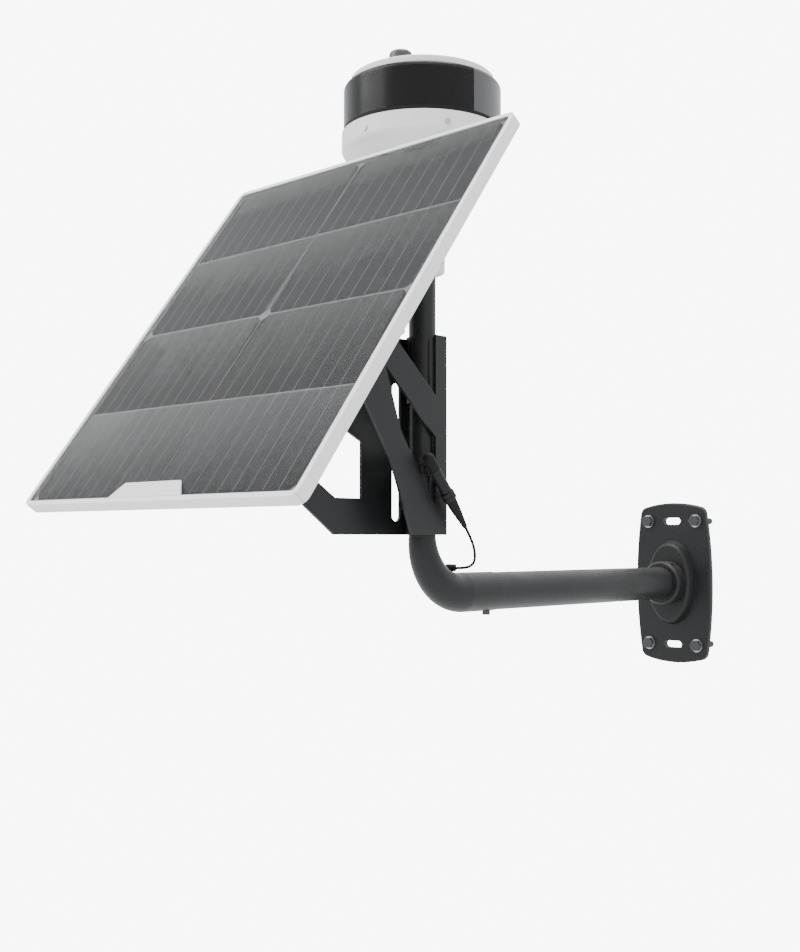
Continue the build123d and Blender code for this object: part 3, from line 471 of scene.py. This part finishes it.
# a hairline where the frame's four bars meet at 45 degrees
def mitrePattern(tree, place, colour):
    split = tree.nodes.new("ShaderNodeSeparateXYZ")
    tree.links.new(place.outputs["Object"], split.inputs[0])
    low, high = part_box("panel_frame")
    halfW = (high.x - low.x) / 2
    across = mathNode(tree, "SUBTRACT", mathNode(tree, "ABSOLUTE", split.outputs["X"]), halfW)
    up = mathNode(tree, "SUBTRACT", mathNode(tree, "ABSOLUTE", upSlope(tree, place)),
                  panelSet["halfLength"])
    gap = mathNode(tree, "ABSOLUTE", mathNode(tree, "SUBTRACT", across, up))
    return mixColour(tree, mathNode(tree, "LESS_THAN", gap, panelSet["mitreWidth"]), colour,
                     panelSet["mitre"])


finishes = {
    "black_coat": {"colour": (0.011, 0.0112, 0.012), "rough": (0.3, 0.44), "grain": 1400, "bump": 0.35,
                   "specular": 0.26,
                   "wear": 0.35, "worn": (0.16, 0.16, 0.165), "dust": 0.12},
    "dark_steel": {"colour": (0.07, 0.07, 0.075), "rough": (0.3, 0.48), "grain": 1800, "bump": 0.2,
                   "metallic": 0.9, "wear": 0.5, "worn": (0.35, 0.35, 0.36)},
    "zinc_steel": {"colour": (0.52, 0.52, 0.53), "rough": (0.24, 0.42), "grain": 1600, "bump": 0.18,
                   "metallic": 1, "wear": 0.3, "worn": (0.7, 0.7, 0.7)},
    "black_rubber": {"colour": (0.006, 0.006, 0.0065), "specular": 0.2, "rough": (0.55, 0.75),
                     "grain": 1500, "bump": 0.3,
                     "dust": 0.15},
    "black_plastic": {"colour": (0.008, 0.008, 0.009), "specular": 0.24, "rough": (0.42, 0.58),
                      "grain": 1700, "bump": 0.4,
                      "wear": 0.25, "worn": (0.09, 0.09, 0.09), "dust": 0.1},
    "white_aluminium": {"colour": (0.82, 0.82, 0.82), "rough": (0.28, 0.42), "grain": 1200, "bump": 0.12,
                        "patch": 0.96, "wear": 0.2, "worn": (0.62, 0.62, 0.63)},
    "clear_glass": {"colour": (0.97, 0.98, 0.98), "rough": (0.0, 0.008), "grain": 300, "bump": 0.0,
                    "patch": 1.0, "transmission": 1, "ior": 1.2},
    "dark_cells": {"colour": (0.02, 0.0195, 0.021), "specular": 0.2, "rough": (0.28, 0.4),
                   "grain": 900, "bump": 0.05},
    "white_sheet": {"colour": (0.13, 0.13, 0.13), "rough": (0.5, 0.65), "grain": 800, "bump": 0.2,
                    "patch": 0.95},
    "white_plastic": {"colour": (0.74, 0.74, 0.735), "rough": (0.26, 0.38), "grain": 1500, "bump": 0.12,
                      "patch": 0.97, "dust": 0.08},
    "raw_aluminium": {"colour": (0.68, 0.68, 0.69), "rough": (0.3, 0.45), "grain": 1300, "bump": 0.15,
                      "metallic": 1, "wear": 0.2, "worn": (0.8, 0.8, 0.8)},
    "smoked_window": {"colour": (0.025, 0.025, 0.028), "rough": (0.2, 0.3), "grain": 300, "bump": 0.0,
                      "patch": 1.0, "transmission": 1, "ior": 1.3},
    "grey_plastic": {"colour": (0.045, 0.045, 0.047), "rough": (0.2, 0.32), "grain": 1500, "bump": 0.05,
                     "coat": 0.15, "dust": 0.04},
    "cell_wrap": {"colour": (0.1, 0.2, 0.45), "rough": (0.3, 0.42), "grain": 900, "bump": 0.1},
    "green_board": {"colour": (0.02, 0.16, 0.07), "rough": (0.3, 0.45), "grain": 1200, "bump": 0.2},
}
patterns = {"solar_cells": cellPattern, "panel_frame": mitrePattern}


def dressPieces():
    slotOf = {s["node"]: s["material_slot"] for s in frame["record"]["subparts"]}
    made = {}
    for node, piece in nodes.items():
        pattern = patterns.get(node)
        key = node if pattern else slotOf[node]
        if key not in made:
            made[key] = makeFinish(key, finishes[slotOf[node]], pattern)
        if not piece.material_slots:
            piece.data.materials.append(made[key])
        for materialSlot in piece.material_slots:
            materialSlot.material = made[key]
    for piece in (leadLoop, weldBeads, anchorThreads, couplingRing, frontLens):
        slotName = piece["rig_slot"]
        if slotName not in made:
            made[slotName] = makeFinish(slotName, finishes[slotName])
        piece.data.materials.append(made[slotName])
    print("finishes given:", len(made))


dressPieces()

# ---------- floor and light ----------
lightSet = {"floorHalf": 12, "floorHeight": -0.75, "world": (0.93, 0.94, 0.95),
            "worldPower": 1.7, "backdropPower": 9,
            "lamps": [("keyLamp", (-1.3, -2.4, 2.3), 2.2, 70), ("topLamp", (0.4, -0.6, 2.9), 1.8, 60)]}


def makeStage(spec):
    mesh = bpy.data.meshes.new("floor")
    half, height = spec["floorHalf"], spec["floorHeight"]
    corners = [(-half, -half, height), (half, -half, height), (half, half, height), (-half, half, height)]
    mesh.from_pydata(corners, [], [(0, 1, 2, 3)])
    floor = bpy.data.objects.new("floor", mesh)
    bpy.context.scene.collection.objects.link(floor)
    pale = bpy.data.materials.new("paleFloor")
    pale.use_nodes = True
    pale.node_tree.nodes["Principled BSDF"].inputs["Base Color"].default_value = (0.86, 0.86, 0.86, 1)
    pale.node_tree.nodes["Principled BSDF"].inputs["Roughness"].default_value = 0.8
    # the camera sees the floor as bright as the surroundings, and nothing else is lit by that
    paleTree = pale.node_tree
    seen, glow = paleTree.nodes.new("ShaderNodeLightPath"), paleTree.nodes.new("ShaderNodeEmission")
    mixed = paleTree.nodes.new("ShaderNodeMixShader")
    glow.inputs["Strength"].default_value = spec["backdropPower"]
    glow.inputs["Color"].default_value = (*spec["world"], 1)
    paleTree.links.new(seen.outputs["Is Camera Ray"], mixed.inputs[0])
    paleTree.links.new(paleTree.nodes["Principled BSDF"].outputs[0], mixed.inputs[1])
    paleTree.links.new(glow.outputs[0], mixed.inputs[2])
    paleTree.links.new(mixed.outputs[0], paleTree.nodes["Material Output"].inputs["Surface"])
    mesh.materials.append(pale)
    world = bpy.data.worlds.new("studio")
    world.use_nodes = True
    world.node_tree.nodes["Background"].inputs[0].default_value = (*spec["world"], 1)
    rays = world.node_tree.nodes.new("ShaderNodeLightPath")
    power = world.node_tree.nodes.new("ShaderNodeMapRange")
    power.inputs["To Min"].default_value = spec["worldPower"]
    power.inputs["To Max"].default_value = spec["backdropPower"]
    world.node_tree.links.new(rays.outputs["Is Camera Ray"], power.inputs["Value"])
    world.node_tree.links.new(power.outputs[0], world.node_tree.nodes["Background"].inputs[1])
    bpy.context.scene.world = world
    for name, place, size, power in spec["lamps"]:
        data = bpy.data.lights.new(name, "AREA")
        data.size, data.energy = size, power
        lamp = bpy.data.objects.new(name, data)
        lamp.location = place
        aim = Vector((0, -0.5, 0.2)) - Vector(place)
        lamp.rotation_euler = aim.to_track_quat("-Z", "Y").to_euler()
        bpy.context.scene.collection.objects.link(lamp)


makeStage(lightSet)
print("floor and lights made")
